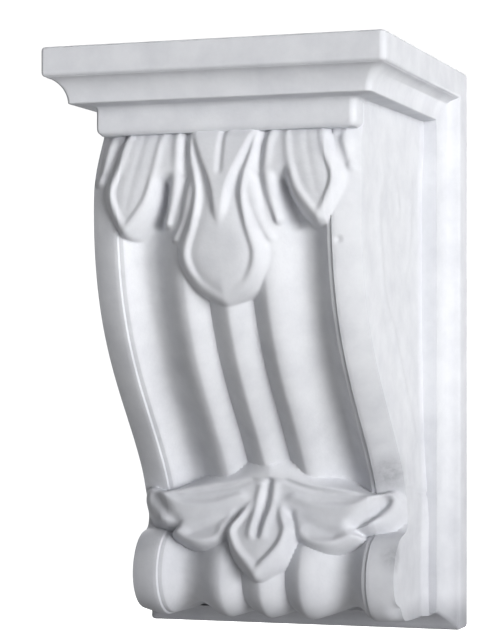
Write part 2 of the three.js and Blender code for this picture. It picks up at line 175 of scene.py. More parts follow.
# Hollow between the two lobes of each wing, with its depth at the left and at the right
WING_HOLLOW = ((48, 237.5), (56.5, 226.5), (62, 217))
HOLLOW_DEPTHS = (2.5, 7.5)
HOLLOW_HALF = 3.3
# Distance over which the leaf swells from its edge, and its fall for each millimetre outside
SWELL_REACH = 5
OUTSIDE_FALL = 5
TIP_THINNING = 0.6
DROP_RIM = ((8.2, 224), (10.6, 234), (14.2, 243.5), (12, 252), (6.6, 260), (0, 266.5))
# Half widths of the drop's rim inside and outside, its spread outside, and the cushion within it
DROP_RIM_HALVES = (4.2, 4.4)
DROP_RIM_SPREAD = 1.4
DROP_PANEL_SINK = 3.4
DROP_PANEL_SWELL = 2.6
# Petals and groove of the drop: line, height, half width
DROP_PETAL = (((3.4, 208), (4, 224), (3.2, 247)), 1.8, 2.2)
DROP_GROOVE = (((0, 203), (0, 246)), 2.6, 1.5)
# Shift of the drop to the right, by the distance down the front
DROP_SLANT = ((198, 245, 265), (2.4, -1.5, 0))
# Stretches over which the leaf and its drop change: down the front, and from the centre outwards
DROP_RISES = (218, 242)
DROP_SPREADS = (246, 262)
LOBES_SETTLE = (236, 254)
LOBES_FROM = (18, 26)
SLANT_FADES = (14, 30)
TIPS_THIN = (58, 70)
# Distances from the centre where the leaf comes closer to the waist, and by what share
BRIDGE_FADES = (50, 70)
BRIDGE_FADING = 0.6

# Faint raised lines on the sides, as (depth, height): line, rise, half width
SIDE_LINES = (
    (((-46, 103), (-67, 131), (-85, 155), (-101, 171), (-108, 187), (-114, 218), (-108, 234),
      (-95, 240), (-82, 234), (-76, 222)), 0.8, 4.0),
    (((-50, 234), (-54, 200), (-69, 184)), 0.6, 4.0),
)
# Nick in the right side, as (depth, height), with its depth and half width
NICK = (((-74, 78), (-50, 76.5), (-24, 73)), 0.8, 1.3)
# Pocket at the head of each flute, as (distance from the centre, distance down the front): depth, half width
POCKET = (((31, 33), (33, 43), (36, 53)), 4, 3)
# Pit in the right band, as (across, down the front), with its depth and half width
BAND_PIT = ((59.3, 61.8), 1.2, 1.5)
# Chip in the roll's right arris, as (across, above the roll's foot), with its depth and half widths
CHIP = ((70.5, 14.0), 4.5, (4, 8))
# Dirty patches: place as (across, depth, height), reach, and the reach of their darkest part
STAINS = (((66.0, -75.0, 85.0), 16.0), ((72.0, -84.0, 44.0), 11.0))
STAIN_CORE = 2
# Heights above the middle between which the painted shade towards the foot (for the key light's falloff) and
# the painted shadow along the bottom edge (under the roll) grow
FOOT_PAINTED_SHADE = (0, -125)
EDGE_PAINTED_SHADOW = (-128, -146)
# Noise in the stone: scale, detail, roughness
CLOUDS = (55, 6, 0.62)
SPECKLES = (260, 4, 0.7)
GRAIN = (520, 4, 0.6)
# Range of the noise that turns into clouds, strength of the grain, gloss of the dressed face
CLOUD_RANGE = (0.3, 0.62)
GRAIN_STRENGTH = 0.35
GLOSS = 0.1
# Noise of the hand-worked front: scale, detail
UNEVENNESS = (70, 2)
# How much further in than the cove the slab's and the plate's cores begin, inside the fascia
SLAB_ROOT = 2.0
PLATE_ROOT = 2.6
# Edges that stay crisp, and arrises that are worn round, by the angle between their faces
CRISP_ANGLE = math.radians(48)
WORN_ANGLE = 0.8

# Studio, in metres: backdrop seen from the side, lights, camera
BACKDROP_FRONT = -6.0
BACKDROP_BEND = 3.2
BEND_RADIUS = 1.0
BACKDROP_TOP = 6.0
BACKDROP_HALF_WIDTH = 9.0
PAPER_ROUGHNESS = 0.9
PAPER_GLOW = 0.85
KEY_PLACE = (1.59, -1.24, 0.22)
KEY_TARGET = (0, -0.07, 0.12)
KEY_SIZE = 1.4
FILL_PLACE = (-1.5, 1.7, 0.9)
FILL_TARGET = (0, -0.07, 0)
FILL_SIZE = 1.5
CAMERA_PLACE = (0.3703, -1.1795, -0.0165)
CAMERA_SHIFT = (0.0027, 0.0955)

# Colour sockets of a Mix node
MIX_FIRST, MIX_SECOND, MIX_RESULT = 6, 7, 2


def length(label, default, note):
    """Property for a length, with its default in millimetres."""
    return FloatProperty(name=label, description=note, default=default * MM, unit="LENGTH", precision=4)


def colour(label, default, note):
    """Property for a colour."""
    return FloatVectorProperty(
        name=label, description=note, subtype="COLOR", size=4, min=0, max=1, default=(*default, 1))


class CorbelBlock(bpy.types.PropertyGroup):
    """Sizes of the mouldings and of the scrolled body."""

    fascia: length("Fascia", 15, "Height of the flat fascia of slab and plate")
    cove_drop: length("Cove drop", 12.9, "How far the cove runs past the fascia")
    cove_inset: length("Cove inset", 10, "How far the cove cuts in under the fascia")
    soffit_inset: length("Soffit inset", 11, "Width of the sloping soffit above the neck")
    soffit_fall: length("Soffit fall", 0.5, "Fall of the soffit towards the neck")
    neck_foot: length("Neck foot", 259, "Height of the foot of the neck above the bottom edge")
    neck_splay: length("Neck splay", 2, "Splay at the foot of the neck")
    arris: length("Arris", 2, "Rounding of the worn arrises")
    worn_corner: length("Worn corner", 3.5, "Rounding of the slab's right front corner, which is more worn")
    half_width: length("Body half width", 70.5, "Half width of the scrolled body at its front")
    band_fall: length("Band fall", 4.3, "Fall of the plain band towards the side")
    roll_fall_left: length("Left roll fall", 3.4, "Fall of the left band towards the side on the roll")
    roll_fall_right: length("Right roll fall", 0.6, "Fall of the right band towards the side on the roll")
    top_half_width: length("Top half width", 68.5, "Half width of the body where it comes out of the neck")
    side_taper: FloatProperty(
        name="Side taper", description="Widening of the body where its front draws back", default=0.025)
    neck_taper: FloatProperty(
        name="Neck taper", description="Widening of the neck towards the wall", default=0.03)


class CorbelSection(bpy.types.PropertyGroup):
    """Section across the reeded front."""

    crease_at: length("Crease at", 11.7, "Distance of the crease from the centre line")
    crease_depth: length("Crease depth", 6.3, "Depth of the crease between the reeds")
    crest_at: length("Reed crest at", 21.5, "Distance of the outer reed from the centre line")
    valley_at: length("Flute valley at", 43, "Distance of the flute from the centre line")
    flute_depth: length("Flute depth", 9.6, "Depth of the flute")
    bead_at: length("Bead at", 54.5, "Distance of the bead from the centre line")
    bead_half: length("Bead half width", 1.1, "Half width of the bead")
    bead_drop: length("Bead drop", 1.6, "Depth of the bead's inner edge below the band")
    quirk: length("Quirk", 0.2, "Depth of the fine groove between bead and band")
    quirk_half: length("Quirk half width", 1.1, "Half width of the fine groove")
    band_from: length("Band from", 56.3, "Distance of the plain band from the centre line")
    blend: length("Leaf blend", 1.6, "Softness of the joint between leaf and ground")
    unevenness: length("Unevenness", 0.12, "Hand-worked unevenness of the front")
    reed_point: FloatProperty(
        name="Reed point", description="Shape of the reeds: 1 is a straight-sided ridge, 2 is round",
        default=1.4)
    bead_slope: FloatProperty(
        name="Bead slope", description="Share of its drop that the bead regains in its half width",
        default=0.16)


class CorbelLeaves(bpy.types.PropertyGroup):
    """Heights of the leaf carving."""

    root: length("Root", 4, "Height of the common root under the neck")
    middle_rim: length("Middle rim", 6, "Height of the middle leaf's rim")
    middle_panel: length("Middle panel", 6.4, "Height of the middle leaf's cushion")
    wedge: length("Wedge", 7, "Height of the middle leaf's rib")
    side_rim: length("Side rim", 5, "Height of the side leaves' rims")
    side_panel: length("Side panel", 4.6, "Height of the side leaves' cushions")
    wing: length("Wing", 4.5, "Thickness of the spreading leaf at the waist")
    drop_rim: length("Drop rim", 8, "Height of the drop's rim")
    drop_panel: length("Drop panel", 7.6, "Height of the drop's cushion")


class CorbelStone(bpy.types.PropertyGroup):
    """Colour and grain of the stone."""

    pale: colour("Pale stone", (0.70, 0.71, 0.74), "Colour of the clean stone")
    dark: colour("Dark stone", (0.62, 0.63, 0.665), "Colour of the darker clouds")
    stain: colour("Stain", (0.42, 0.42, 0.44), "Soiling of the dirty patches")
    # Painted shade: tint that darkens the colour towards the foot, in place of the key light's falloff lower
    # down
    foot: colour("Foot", (0.84, 0.84, 0.85), "Soiling that grows towards the foot of the corbel")
    # Painted shadow: tint that darkens the bottom edge where the roll above shades it
    edge: colour("Edge", (0.62, 0.62, 0.63), "Soiling of the bottom edge")
    roughness: FloatProperty(
        name="Roughness", description="Roughness of the dressed face", default=0.82, min=0, max=1)
    grain: length("Grain", 0.25, "Depth of the fine grain")


class CorbelStage(bpy.types.PropertyGroup):
    """Floor, light and camera."""

    floor_drop: length("Floor drop", 400, "Distance of the floor below the middle of the corbel")
    paper: colour("Backdrop", (0.93, 0.93, 0.93), "Colour of the floor and backdrop")
    key: FloatProperty(name="Key", description="Power of the key light", default=7.2, unit="POWER")
    fill: FloatProperty(name="Fill", description="Power of the light behind", default=60, unit="POWER")
    key_spread: FloatProperty(
        name="Key spread", description="Angle of the key light's beam",
        default=math.radians(45), unit="ROTATION")
    sky: FloatProperty(name="Sky", description="Strength of the light from above", default=0.28)
    ground: FloatProperty(name="Ground", description="Strength of the light from below", default=0.225)
    turn: FloatProperty(
        name="Camera turn", description="Angle of the camera round the corbel",
        default=math.radians(19.02), unit="ROTATION")
    lens: FloatProperty(name="Lens", description="Focal length in millimetres", default=125.3)


def smooth_line(points, steps=24):
    """Points along a uniform Catmull-Rom curve."""
    knots = np.array(points, float)
    knots = np.vstack([knots[:1], knots, knots[-1:]])
    t = np.linspace(0, 1, steps, endpoint=False)[:, None]
    parts = []
    for a, b, c, d in zip(knots[:-3], knots[1:-2], knots[2:-1], knots[3:]):
        lead, tail = 0.5 * (c - a), 0.5 * (d - b)
        parts.append(b + lead * t + (3 * (c - b) - 2 * lead - tail) * t ** 2
                     + (2 * (b - c) + lead + tail) * t ** 3)
    parts.append(knots[-1:])
    return np.vstack(parts)


def distance_to(points, x, v):
    """Shortest distance of every place to a line."""
    line = smooth_line(points, 8)
    nearest = np.full(x.shape, np.inf)
    for (ax, av), (bx, bv) in zip(line[:-1], line[1:]):
        dx, dv = bx - ax, bv - av
        t = np.clip(((x - ax) * dx + (v - av) * dv) / (dx * dx + dv * dv), 0, 1)
        nearest = np.minimum(nearest, np.hypot(x - ax - t * dx, v - av - t * dv))
    return nearest


def reach_at(points, v):
    """Distance from the centre at which a line down the front crosses a level."""
    line = smooth_line(points)
    order = np.argsort(line[:, 1], kind="stable")
    return np.interp(v, line[order, 1], line[order, 0], right=0)


def inside(points, x, v):
    """Which places lie inside a closed line."""
    line = smooth_line(points)
    within = np.zeros(x.shape, bool)
    for (ax, av), (bx, bv) in zip(line, np.roll(line, 1, axis=0)):
        if av != bv:
            crosses = (av > v) != (bv > v)
            within ^= crosses & (x < ax + (bx - ax) * (v - av) / (bv - av))
    return within


def smooth_step(values, low, high):
    """Soft rise from 0 to 1 between two values."""
    t = np.clip((values - low) / (high - low), 0, 1)
    return t * t * (3 - 2 * t)


def blended_max(a, b, blend=0.8):
    """The higher of two heights, with a soft joint."""
    return 0.5 * (a + b + np.hypot(a - b, blend))


def strand(distance, crest, half):
    """Round ridge that is 1 mm below the ground at its half width."""
    return crest - (crest + 1) * (distance / half) ** 2


def cushion(distance, within, edge, rise):
    """Panel that swells away from its rim, and falls off outside it."""
    return np.where(within, edge + rise * (1 - np.exp(-distance / 4)), edge - 3 * distance)


def bump(distance, half):
    """Soft bump of height 1."""
    return np.exp(-(distance / half) ** 2)


def side_leaf(x, v, leaves, height):
    """Adds the rim and cushion of the side leaves."""
    rim = np.minimum(distance_to(SIDE_INNER, x, v), distance_to(SIDE_OUTER, x, v))
    within = (x > reach_at(SIDE_INNER, v)) & (x < reach_at(SIDE_OUTER, v))
    height = blended_max(height, strand(rim, leaves.side_rim / MM, np.where(within, *SIDE_RIM_HALVES)))
    edge = leaves.side_rim / MM - SIDE_PANEL_SINK
    return blended_max(height, cushion(rim, within, edge, leaves.side_panel / MM - edge))


def middle_leaf(x, v, leaves, height):
    """Adds the rim, cushion and wedge-shaped rib of the middle leaf."""
    rim = distance_to(MIDDLE_RIM, x, v)
    within = x < reach_at(MIDDLE_RIM, v)
    inner_half, outer_half = MIDDLE_RIM_HALVES
    outer_half = outer_half + MIDDLE_RIM_SPREAD * smooth_step(v, *MIDDLE_SPREADS)
    crest = leaves.middle_rim / MM - MIDDLE_TIP_SINK * smooth_step(v, *MIDDLE_TIP_SINKS)
    height = blended_max(height, strand(rim, crest, np.where(within, inner_half, outer_half)))
    swelling = leaves.middle_panel / MM - MIDDLE_PANEL_HEAD
    panel = MIDDLE_PANEL_HEAD + swelling * smooth_step(v, *MIDDLE_SWELLS)
    height = blended_max(height, cushion(rim, within, panel - MIDDLE_PANEL_SINK, MIDDLE_PANEL_SINK))
    off_wedge = x - reach_at(WEDGE_EDGE, v)
    wedge = leaves.wedge / MM - WEDGE_SIDE_FALL * np.maximum(off_wedge + 1, 0) ** 1.5
    wedge = wedge - WEDGE_TIP_SINK * smooth_step(v, *WEDGE_SINKS)
    wedge_foot = WEDGE_EDGE[-1][1] + 1
    return np.where(v < wedge_foot, blended_max(height, wedge), height)


def top_leaves(x, v, leaves, section):
    """Height of the leaves that hang under the neck."""
    root_fall = (leaves.root + section.flute_depth) / MM
    height = leaves.root / MM - root_fall * smooth_step(v, *ROOT_ENDS)
    height = height - ROOT_SIDE_FALL * np.maximum(x - ROOT_HALF_WIDTH, 0)
    for line, crest, crest_low, half in FINGERS:
        tip = line[-1][1]
        crest = crest + (crest_low - crest) * smooth_step(v, *(tip - above for above in FINGER_FALLS))
        narrowing = 1 - FINGER_NARROWING * smooth_step(v, tip - FINGER_NARROWS, tip)
        height = blended_max(height, strand(distance_to(line, x, v), crest * narrowing, half * narrowing))
    height = side_leaf(x, v, leaves, height)
    height = middle_leaf(x, v, leaves, height)
    for line, depth, half in LEAF_GROOVES:
        height = height - depth * bump(distance_to(line, x, v), half)
    return height - HEAD_SINK * (1 - smooth_step(v, *HEAD_SINKS))


def waist_leaves(across, v, leaves, bridge):
    """Height of the spreading leaf and its drop, which bridge the waist."""
    slant = np.interp(v, *DROP_SLANT) * (1 - smooth_step(np.abs(across), *SLANT_FADES))
    x = np.abs(across - slant)
    edge = distance_to(WING_OUTLINE, x, v)
    swell = 1 - (1 - np.minimum(edge / SWELL_REACH, 1)) ** 2
    wing = leaves.wing / MM * swell
    for line, rise, half in WING_FOLDS:
        wing = wing + rise * swell * bump(distance_to(line, x, v), half)
    hollow = np.where(across < 0, *HOLLOW_DEPTHS) * bump(distance_to(WING_HOLLOW, x, v), HOLLOW_HALF)
    wing = (wing - hollow * swell) * (1 - TIP_THINNING * smooth_step(x, *TIPS_THIN))
    height = np.where(inside(WING_OUTLINE, x, v), wing, -OUTSIDE_FALL * edge)
    height = waist_drop(x, v, leaves, height)
    return height + bridge * (1 - smooth_step(v, *LOBES_SETTLE) * smooth_step(x, *LOBES_FROM))


def waist_drop(x, v, leaves, height):
    """Adds the rim, cushion, petals and groove of the drop."""
    rim = distance_to(DROP_RIM, x, v)
    rising = smooth_step(v, *DROP_RISES)
    crest = (leaves.wing + (leaves.drop_rim - leaves.wing) * rising) / MM
    within = (x < reach_at(DROP_RIM, v)) & (v > DROP_RIM[0][1])
    inner_half, outer_half = DROP_RIM_HALVES
    outer_half = outer_half + DROP_RIM_SPREAD * smooth_step(v, *DROP_SPREADS)
    height = blended_max(height, strand(rim, crest, np.where(within, inner_half, outer_half)))
    swelling = (leaves.drop_panel - leaves.drop_rim) / MM * rising + DROP_PANEL_SWELL
    panel = cushion(rim, within, crest - DROP_PANEL_SINK, swelling)
    height = blended_max(height, np.where(within, panel, FAR_BELOW))
    petal, rise, half = DROP_PETAL
    height = height + rise * bump(distance_to(petal, x, v), half)
    groove, depth, half = DROP_GROOVE
    return height - depth * bump(distance_to(groove, x, v), half)


def leaf_height(x, v, leaves, section, bridge):
    """Height of all the leaves above the scrolled front, slightly worn."""
    height = np.full(x.shape, FAR_BELOW)
    top = v < LEAF_FOOT
    height[top] = top_leaves(np.abs(x[top]), v[top], leaves, section)
    waist = (v > WING_TOP) & (v < DROP_FOOT)
    height[waist] = waist_leaves(x[waist], v[waist], leaves, bridge[waist])
    height = np.maximum(height, DEEPEST)
    for _ in range(2):
        height[1:-1] = 0.25 * (height[:-2] + 2 * height[1:-1] + height[2:])
        height[:, 1:-1] = 0.25 * (height[:, :-2] + 2 * height[:, 1:-1] + height[:, 2:])
    return height


def front_profile():
    """Points down the scrolled front and their distances from its start."""
    def cubic(a, b, c, d):
        t = np.linspace(0, 1, 400, endpoint=False)[:, None]
        a, b, c, d = (np.array(p) for p in (a, b, c, d))
        return (1 - t) ** 3 * a + 3 * (1 - t) ** 2 * t * b + 3 * (1 - t) * t ** 2 * c + t ** 3 * d

    angles = np.radians(np.linspace(*ROLL_ANGLES, 400))[:, None]
    roll = np.array(ROLL_CENTRE) + ROLL_RADIUS * np.hstack([np.cos(angles), np.sin(angles)])
    t = np.linspace(0, 1, 60, endpoint=False)[:, None]
    corner = (1 - t) ** 2 * np.array(WAIST) + 2 * (1 - t) * t * np.array(WAIST_CORNER) + t ** 2 * roll[0]
    points = np.vstack([
        cubic(FRONT_START, *SHOULDER_HANDLES, SHOULDER),
        cubic(SHOULDER, *S_HANDLES, WAIST),
        corner,
        roll,
        [(UNDERSIDE_END, roll[-1, 1])],
    ])
    run = np.concatenate([[0], np.cumsum(np.hypot(*np.diff(points, axis=0).T))])
    return points, run


class ScrolledFront:
    """Line of the scrolled front, by the distance down it."""

    def __init__(self):
        self.points, self.run = front_profile()
        self.end = self.run[-1]
        self.roll_foot = self.end - (UNDERSIDE_END - ROLL_CENTRE[0])
        self.waist = np.interp(-WAIST[1], -self.points[:, 1], self.run)

    def at(self, v):
        v = np.clip(v, 0, self.end)
        return np.stack([np.interp(v, self.run, self.points[:, i]) for i in (0, 1)], axis=-1)

    def outward(self, v):
        chord = self.at(v + RELIEF_SPAN) - self.at(v - RELIEF_SPAN)
        chord /= np.linalg.norm(chord, axis=1)[:, None]
        return np.stack([chord[:, 1], -chord[:, 0]], axis=-1)

    def leaf_sweep(self, rows, thickness):
        """Direction and distance from the ground to the sweep on which the waist leaf lies."""
        first, last = WAIST_LEAF
        (p, q), (n, m) = self.at(np.array(WAIST_LEAF)), self.outward(np.array(WAIST_LEAF))
        lead, tail = SWEEP_EASE * np.array([-n[1], n[0]]), SWEEP_EASE * np.array([-m[1], m[0]])
        t = np.clip((rows - first) / (last - first), 0, 1)[:, None]
        place = p + (3 * t ** 2 - 2 * t ** 3) * (q - p)
        place = place + (t ** 3 - 2 * t ** 2 + t) * lead + (t ** 3 - t ** 2) * tail
        slope = 6 * (t - t ** 2) * (q - p) + (3 * t ** 2 - 4 * t + 1) * lead + (3 * t ** 2 - 2 * t) * tail
        slope /= np.linalg.norm(slope, axis=1)[:, None]
        swept = place + thickness * np.stack([slope[:, 1], -slope[:, 0]], axis=-1)
        plain = self.at(rows) + thickness * self.outward(rows)
        away = np.where((t > 0) & (t < 1), swept, plain) - self.at(rows)
        reach = np.linalg.norm(away, axis=1)
        return away / reach[:, None], reach - thickness


def spread(*stops):
    """Values between stops: each stop is (value, steps to the next)."""
    parts = [np.linspace(a, b, n, endpoint=False) for (a, n), (b, _) in zip(stops, stops[1:])]
    return np.concatenate(parts + [[stops[-1][0]]])


def mesh_from(name, points, faces):
    """Mesh of points and faces."""
    mesh = bpy.data.meshes.new(name)
    mesh.from_pydata(points, [], faces)
    mesh.update()
    return mesh


def object_from(mesh):
    """Object in the scene that shows a mesh."""
    piece = bpy.data.objects.new(mesh.name, mesh)
    bpy.context.scene.collection.objects.link(piece)
    return piece


def loft_faces(rows, count):
    """Quads of a closed stack of rings, with a cap on the first and last ring."""
    faces = []
    for r in range(rows - 1):
        for i in range(count):
            a, b = r * count + i, r * count + (i + 1) % count
            faces.append((a, b, b + count, a + count))
    faces.append(tuple(reversed(range(count))))
    faces.append(tuple(range((rows - 1) * count, rows * count)))
    return faces


def columns(section, half_width):
    """Distances across the front, closer together where the section turns."""
    half = spread(
        (0, 14), (section.crease_at / MM, 12), (section.crest_at / MM, 25), (section.valley_at / MM, 12),
        ((section.bead_at - section.bead_half) / MM, 3), (section.bead_at / MM, 3),
        (section.band_from / MM, 4), (section.band_from / MM + 2, 11), (half_width, 0))
    return np.concatenate([-half[:0:-1], half])


def wear_and_pockets(x, v, roll_foot):
    """Depth of what is cut away: the flutes' pockets, the pit and the chip."""
    pocket, depth, half = POCKET
    cut = depth * bump(distance_to(pocket, np.abs(x), v), half)
    (pit_x, pit_v), depth, half = BAND_PIT
    cut += depth * bump(np.hypot(x - pit_x, v - pit_v), half)
    (chip_x, above), depth, (half_x, half_v) = CHIP
    cut += depth * bump(np.hypot((x - chip_x) / half_x, (v - roll_foot + above) / half_v), 1)
    return cut


def store(mesh, kind, key, **values):
    """Stores values on the points of a mesh."""
    for name, numbers in values.items():
        attribute = mesh.attributes.new(name, kind, "POINT")
        attribute.data.foreach_set(key, numbers.astype(np.float32).ravel())


def body_mesh(block, section, leaves):
    """Smooth scrolled body with the carving's rule stored on its points."""
    line = ScrolledFront()
    half_width = block.half_width / MM
    rows = spread(
        (0, 120), (LEAF_FOOT, 52), (WING_TOP, 110), (DROP_FOOT, 26), (line.roll_foot, 5), (line.end, 0))
    across = columns(section, half_width)
    base = line.at(rows)
    outward, bridge = line.leaf_sweep(rows, leaves.wing / MM)

    x, v = np.meshgrid(across, rows)
    lean = SIDE_LEAN * np.sign(x) * smooth_step(np.abs(x), *LEAN_FROM) * smooth_step(v, *LEAN_GROWS)
    lean = np.where(v < LEAF_FOOT - 4, lean, 0)
    bridge = bridge[:, None] * (1 - BRIDGE_FADING * smooth_step(np.abs(x), *BRIDGE_FADES))
    leaf = leaf_height(x, v + lean, leaves, section, bridge)

    wide_front = half_width + block.side_taper * (np.minimum(base[:, :1], WAIST_CORNER[0]) - WIDTH_DATUM)
    drawn_in = (1 - smooth_step(rows, 0, NECK_RUN))[:, None]

    def half_width_at(depth):
        top = block.top_half_width / MM + block.neck_taper * (depth - FRONT_START[0])
        return wide_front + (top - wide_front) * drawn_in

    depth = np.repeat(base[:, :1], len(across), axis=1)
    level = np.repeat(base[:, 1:], len(across), axis=1)
    front = np.stack([x * half_width_at(depth) / half_width, depth, level], axis=-1)
    push = np.zeros(front.shape)
    push[..., 1:] = outward[:, None, :]

    def flank(sign):
        """Side of the body from its front edge to the plate, with the share of the push it takes."""
        edge = front[:, 0 if sign < 0 else -1]
        side = spread((0, 40), (1, 0))[1:]
        root = spread((0, 7), (0.55, 3), (1, 0))[1:]
        edge_depth = np.minimum(edge[:, 1:2], FLARE_FROM - 1)
        depth = np.concatenate([
            edge_depth + (FLARE_FROM - edge_depth) * side,
            np.repeat([FLARE_FROM + (SIDE_END - FLARE_FROM) * root], len(rows), axis=0)], axis=1)
        level = np.repeat(edge[:, 2:], depth.shape[1], axis=1)
        wide = half_width_at(depth)
        for drawn, rise, reach in SIDE_LINES:
            wide = wide + rise * bump(distance_to(drawn, depth, level), reach)
        if sign > 0:
            scratch, cut, reach = NICK
            wide = wide - cut * bump(distance_to(scratch, depth, level), reach)
        flare = FLARE_REACH + FLARE_GAIN * smooth_step(level, *FLARE_GAINS)
        wide = wide + flare * np.clip((depth - FLARE_FROM) / FLARE_DEPTH, 0, 1) ** 2
        place = np.stack([sign * wide, depth, level], axis=-1)
        share = np.concatenate([side, np.ones(len(root))])[None, :, None]
        shift = np.zeros(place.shape)
        shift[..., 1:] = outward[:, None, :] * (1 - share)
        return place, shift

    left, left_push = flank(-1)
    right, right_push = flank(1)

    def round_ring(at_left, on_front, at_right):
        return np.concatenate([at_left, on_front, at_right], axis=1)[:, ::-1]

    plain = np.ones(left.shape[:2])
    ring = round_ring(left[:, ::-1], front, right)
    from_centre = round_ring(half_width * plain, np.abs(x), half_width * plain)
    band_from = section.band_from / MM
    band_share = np.clip((from_centre - band_from) / (half_width - band_from), 0, 1)
    roll_fall = np.where(ring[..., 0] > 0, block.roll_fall_right, block.roll_fall_left)
    on_roll = smooth_step(rows - line.waist, *ROLL_BANDS_CHANGE)[:, None]
    fall = block.band_fall + (roll_fall - block.band_fall) * on_roll
    cut = wear_and_pockets(x, v, line.roll_foot)
    carving = 1 - CARVING_FADING * smooth_step(rows - line.roll_foot, *CARVING_FADES)

    ring[0, :, 2] += TOP_HIDDEN
    ring[..., 2] -= HEIGHT / 2
    count = ring.shape[1]
    mesh = mesh_from("scrolled_body", (ring.reshape(-1, 3) * MM).tolist(), loft_faces(len(rows), count))
    store(
        mesh, "FLOAT", "value",
        across=from_centre * MM,
        leaf=round_ring(leaf[:, :1] * plain, leaf, leaf[:, :1] * plain) * MM,
        band=-fall * band_share ** 1.5,
        cut=round_ring(cut[:, :1] * plain, cut, cut[:, -1:] * plain) * MM,
        carving=np.repeat(carving, count))
    store(mesh, "FLOAT_VECTOR", "vector", push=round_ring(left_push[:, ::-1], push, right_push))
    return mesh


class Field:
    """A number in a node tree that takes part in sums like any other number."""

    def __init__(self, tree, socket):
        self.tree = tree
        self.socket = socket

    def reckon(self, operation, *others):
        node = self.tree.nodes.new("ShaderNodeMath")
        node.operation = operation
        for slot, value in zip(node.inputs, (self, *others)):
            if isinstance(value, Field):
                self.tree.links.new(value.socket, slot)
            else:
                slot.default_value = value
        return Field(self.tree, node.outputs[0])

    def __add__(self, other):
        return self.reckon("ADD", other)

    def __sub__(self, other):
        return self.reckon("SUBTRACT", other)

    def __mul__(self, other):
        return self.reckon("MULTIPLY", other)

    def __truediv__(self, other):
        return self.reckon("DIVIDE", other)

    def squared(self):
        return self * self

    def below(self, limit, low, high):
        """One rule below a limit and another one above it."""
        switch = self.tree.nodes.new("GeometryNodeSwitch")
        switch.input_type = "FLOAT"
        self.tree.links.new(self.reckon("LESS_THAN", limit).socket, switch.inputs["Switch"])
        self.tree.links.new(high.socket, switch.inputs["False"])
        self.tree.links.new(low.socket, switch.inputs["True"])
        return Field(self.tree, switch.outputs[0])


def section_rule(x, value, band):
    """Height of the reeds, creases, flute, bead and band at a distance from the centre."""
    crease_at, crest_at, valley_at = value("crease_at"), value("crest_at"), value("valley_at")
    bead_at, bead_half, band_from = value("bead_at"), value("bead_half"), value("band_from")
    crease = value("crease_depth") * -1.0
    flute = value("flute_depth") * -1.0
    middle_reed = crease * (x / crease_at).reckon("POWER", value("reed_point"))
    outer_reed = crease * ((crest_at - x) / (crest_at - crease_at)).reckon("POWER", value("reed_point"))
    turn = (x - crest_at) / (valley_at - crest_at) * math.pi
    outer_flank = flute * (turn.reckon("COSINE") * -0.5 + 0.5)
    rise = (x - valley_at) / (bead_at - bead_half - valley_at) * (math.pi / 2)
    drop = value("bead_drop")
    flute_wall = (flute + drop) * rise.reckon("COSINE") - drop
    off_bead = (x - bead_at) / bead_half
    bead = drop * ((off_bead + 1.0) * value("bead_slope") - 1.0)
    section = x.below(band_from, bead, band)
    section = x.below(bead_at - bead_half, flute_wall, section)
    section = x.below(valley_at, outer_flank, section)
    section = x.below(crest_at, outer_reed, section)
    section = x.below(crease_at, middle_reed, section)
    off_quirk = (x - band_from) / value("quirk_half")
    return section - value("quirk") * (off_quirk.squared() * -1.0).reckon("EXPONENT")


def reeded_front_tree():
    """Node tree that presses reeds, flutes, beads and leaves into the scrolled body."""
    tree = bpy.data.node_groups.new("Reeded front", "GeometryNodeTree")
    tree.interface.new_socket("Geometry", in_out="INPUT", socket_type="NodeSocketGeometry")
    for label in CorbelSection.__annotations__:
        tree.interface.new_socket(label, in_out="INPUT", socket_type="NodeSocketFloat")
    tree.interface.new_socket("Stone", in_out="INPUT", socket_type="NodeSocketMaterial")
    tree.interface.new_socket("Geometry", in_out="OUTPUT", socket_type="NodeSocketGeometry")
    nodes, links = tree.nodes, tree.links
    given = nodes.new("NodeGroupInput")
    result = nodes.new("NodeGroupOutput")

    def value(label):
        return Field(tree, given.outputs[label])

    def stored(label, kind="FLOAT"):
        node = nodes.new("GeometryNodeInputNamedAttribute")
        node.data_type = kind
        node.inputs["Name"].default_value = label
        return Field(tree, node.outputs["Attribute"])

    section = section_rule(stored("across"), value, stored("band")) * stored("carving")
    height = section.reckon("SMOOTH_MAX", stored("leaf"), value("blend")) - stored("cut")
    noise = nodes.new("ShaderNodeTexNoise")
    noise.inputs["Scale"].default_value, noise.inputs["Detail"].default_value = UNEVENNESS
    height = height + (Field(tree, noise.outputs[0]) - 0.5) * 2.0 * value("unevenness")

    offset = nodes.new("ShaderNodeVectorMath")
    offset.operation = "SCALE"
    links.new(stored("push", "FLOAT_VECTOR").socket, offset.inputs[0])
    links.new(height.socket, offset.inputs["Scale"])
    place = nodes.new("GeometryNodeSetPosition")
    realize = nodes.new("GeometryNodeRealizeInstances")
    paint = nodes.new("GeometryNodeSetMaterial")
    links.new(given.outputs["Geometry"], place.inputs["Geometry"])
    links.new(offset.outputs[0], place.inputs["Offset"])
    links.new(place.outputs["Geometry"], realize.inputs["Geometry"])
    links.new(realize.outputs["Geometry"], paint.inputs["Geometry"])
    links.new(given.outputs["Stone"], paint.inputs["Material"])
    links.new(paint.outputs["Geometry"], result.inputs["Geometry"])
    return tree


def evaluated_mesh(piece, name):
    """Plain mesh of an object with its modifiers worked in and then removed."""
    graph = bpy.context.evaluated_depsgraph_get()
    mesh = bpy.data.meshes.new_from_object(piece.evaluated_get(graph))
    mesh.name = name
    if not mesh.polygons:
        raise RuntimeError(f"{name} came out empty")
    piece.modifiers.clear()
    return mesh


